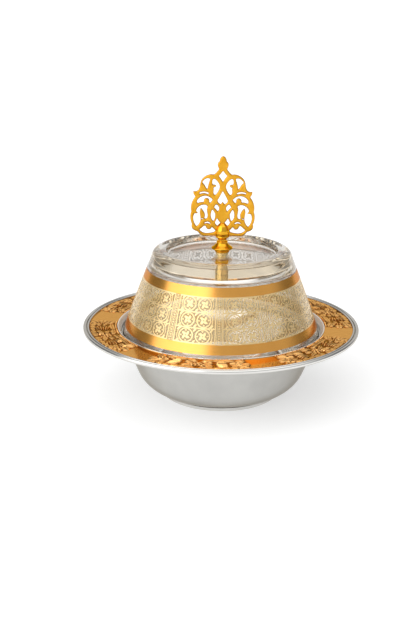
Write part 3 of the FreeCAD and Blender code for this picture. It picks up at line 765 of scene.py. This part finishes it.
# Painted shade: the plaque's side walls, which face away from the front and back, are painted darker than its
# faces.
face_shade_layer = bm.verts.layers.float.new("painted_side_shade")
for vert in bm.verts:
    vert[face_shade_layer] = abs(vert.normal.y)
plaque = as_piece("plaque", bm)
cast_gold, tree, shader, place = new_finish("cast_gold")
sand = noise(tree, place, scale=1500, detail=3.0)
cloud = noise(tree, place, scale=120)
gilt = ramp(tree, cloud, (0.72, 0.34, 0.02), (0.86, 0.44, 0.04))
# painted shade: dark gold on the side walls, full gold on the front and back faces
edges = ramp(tree, mark(tree, "painted_side_shade"), (0.42, 0.19, 0.01), (1.0, 1.0, 1.0), start=0.1, end=0.95)
tree.links.new(shaded(tree, gilt, edges, factor=1.0), shader.inputs["Base Color"])
tree.links.new(ramp(tree, sand, 0.26, 0.42), shader.inputs["Roughness"])
shader.inputs["Specular Tint"].default_value = GOLD_EDGE
shader.inputs["Metallic"].default_value = 1
grain(tree, shader, sand, depth=0.00008, strength=0.35)
plaque.data.materials.append(cast_gold)
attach(plaque, "finial")
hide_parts("finial_plaque")


# Fixings. Under the lid a plated washer and a domed cap nut, both turned from brass, draw on a plain steel
# stud and clamp the finial through the glass. They are bought in, and show through the lid's thick base.
WASHER_THICK = 0.0012
WASHER_GAP = 0.00002
WASHER_BORE = 0.00305
WASHER_RADIUS = 0.0070
WASHER_TURNS = 96
WASHER_SEAT = LOWER_GASKET_TOP - GASKET
WASHER_TOP = WASHER_SEAT - WASHER_GAP
WASHER_UNDER = WASHER_SEAT - WASHER_THICK
WASHER = [
    (WASHER_BORE, WASHER_UNDER, 0.0002),
    (WASHER_RADIUS, WASHER_UNDER, 0.0003),
    (WASHER_RADIUS, WASHER_TOP, 0.0003),
    (WASHER_BORE, WASHER_TOP, 0.0002),
]
plain_steel, tree, shader, place = new_finish("plain_steel")
cloud = noise(tree, place, scale=300, detail=3.0)
tree.links.new(ramp(tree, cloud, (0.55, 0.54, 0.52), (0.68, 0.67, 0.64)), shader.inputs["Base Color"])
tree.links.new(ramp(tree, cloud, 0.18, 0.32), shader.inputs["Roughness"])
shader.inputs["Metallic"].default_value = 1
dress("finial_stud", plain_steel)
dress("cap_nut", polished_gold)
washer = turned("washer", WASHER, WASHER_TURNS, closed=True, run=0.001, facets=4)
washer.data.materials.append(polished_gold)
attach(washer, "finial")
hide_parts("clamp_washer")


# Table. A wide sheet of plain white paper under the dish, which carries only its soft shadow. It glows a
# little where it is seen, directly, in a reflection or through the glass, so that it stays white there.
TABLE_HALF = 30.0
TABLE_DROP = 0.0002
TABLE_GLOW = 0.48


def figured(tree, operation, first, second):
    """Two values worked into one, such as their sum or the larger. The second may be a plain number."""
    node = tree.nodes.new("ShaderNodeMath")
    node.operation = operation
    tree.links.new(first, node.inputs[0])
    if isinstance(second, float):
        node.inputs[1].default_value = second
    else:
        tree.links.new(second, node.inputs[1])
    return node.outputs["Value"]


bm = bmesh.new()
bmesh.ops.create_grid(bm, x_segments=2, y_segments=2, size=TABLE_HALF)
table = as_piece("table", bm)
table.location.z = -TABLE_DROP
white, tree, shader, place = new_finish("table_white")
tree.nodes.remove(shader)
sheet = tree.nodes.new("ShaderNodeBsdfDiffuse")
sheet.inputs["Color"].default_value = (0.62, 0.62, 0.62, 1)
glow = tree.nodes.new("ShaderNodeEmission")
glow.inputs["Color"].default_value = (1, 1, 1, 1)
path = tree.nodes.new("ShaderNodeLightPath")
seen = figured(tree, "MAXIMUM", path.outputs["Is Camera Ray"], path.outputs["Is Glossy Ray"])
seen = figured(tree, "MAXIMUM", seen, path.outputs["Is Transmission Ray"])
tree.links.new(figured(tree, "MULTIPLY", seen, TABLE_GLOW), glow.inputs["Strength"])
both = tree.nodes.new("ShaderNodeAddShader")
tree.links.new(sheet.outputs["BSDF"], both.inputs[0])
tree.links.new(glow.outputs["Emission"], both.inputs[1])
tree.links.new(both.outputs["Shader"], tree.nodes["Material Output"].inputs["Surface"])
table.data.materials.append(white)


# Studio light. A dim white room with soft glows: low ones before and behind the dish, a strong one from the
# left front and one from above, so that every reflection has a soft edge. The camera sees the room plain
# white.
ROOM_LEVEL = 0.24
KEY_FROM = Vector((-0.72, -0.545, 0.42)).normalized()
studio = bpy.data.worlds.new("studio")
bpy.context.scene.world = studio
studio.use_nodes = True
sky = studio.node_tree
backdrop = sky.nodes["Background"]
facing = sky.nodes.new("ShaderNodeTexCoord").outputs["Generated"]


def room_glow(toward, start, end, level):
    """Light that grows from nothing to a level over the cosine of the angle to a direction."""
    dot = sky.nodes.new("ShaderNodeVectorMath")
    dot.operation = "DOT_PRODUCT"
    dot.inputs[1].default_value = toward
    sky.links.new(facing, dot.inputs[0])
    spread = sky.nodes.new("ShaderNodeMapRange")
    spread.interpolation_type = "SMOOTHSTEP"
    spread.inputs["From Min"].default_value = start
    spread.inputs["From Max"].default_value = end
    spread.inputs["To Max"].default_value = level
    sky.links.new(dot.outputs["Value"], spread.inputs["Value"])
    return spread.outputs["Result"]


light = room_glow((0.35, -0.94, 0), start=0.0, end=0.55, level=0.42)
light = figured(sky, "ADD", light, room_glow((0, 1, 0), start=0.62, end=0.90, level=0.52))
light = figured(sky, "ADD", light, room_glow(KEY_FROM, start=0.76, end=0.88, level=1.8))
light = figured(sky, "ADD", light, room_glow((0, 0, 1), start=0.55, end=0.90, level=0.95))
light = figured(sky, "ADD", light, ROOM_LEVEL)
path = sky.nodes.new("ShaderNodeLightPath")
light = figured(sky, "MAXIMUM", light, path.outputs["Is Camera Ray"])
sky.links.new(light, backdrop.inputs["Strength"])
backdrop.inputs["Color"].default_value = (1, 1, 1, 1)


# Camera. It stands in front of the dish and looks down on it at the angle of the photograph, a little
# rolled. Light may pass more often than usual, because the lid is thick and has many faces in a row.
CAMERA_AT = Vector((0.0, -0.9492, 0.3794))
CAMERA_AIM = Vector((0.0, 0.0, 0.0646))
CAMERA_ROLL = math.radians(0.8)
lens = bpy.data.cameras.new("camera")
lens.lens = 62.6
lens.shift_x = -0.0175
lens.shift_y = 0.0132
camera = bpy.data.objects.new("camera", lens)
camera.location = CAMERA_AT
aimed = (CAMERA_AIM - CAMERA_AT).to_track_quat("-Z", "Y").to_matrix()
camera.rotation_euler = (aimed @ Matrix.Rotation(CAMERA_ROLL, 3, "Z")).to_euler()
bpy.context.scene.collection.objects.link(camera)
bpy.context.scene.camera = camera
bpy.context.scene.view_settings.view_transform = "Standard"
bpy.context.scene.cycles.max_bounces = 32
bpy.context.scene.cycles.glossy_bounces = 20
bpy.context.scene.cycles.transmission_bounces = 24
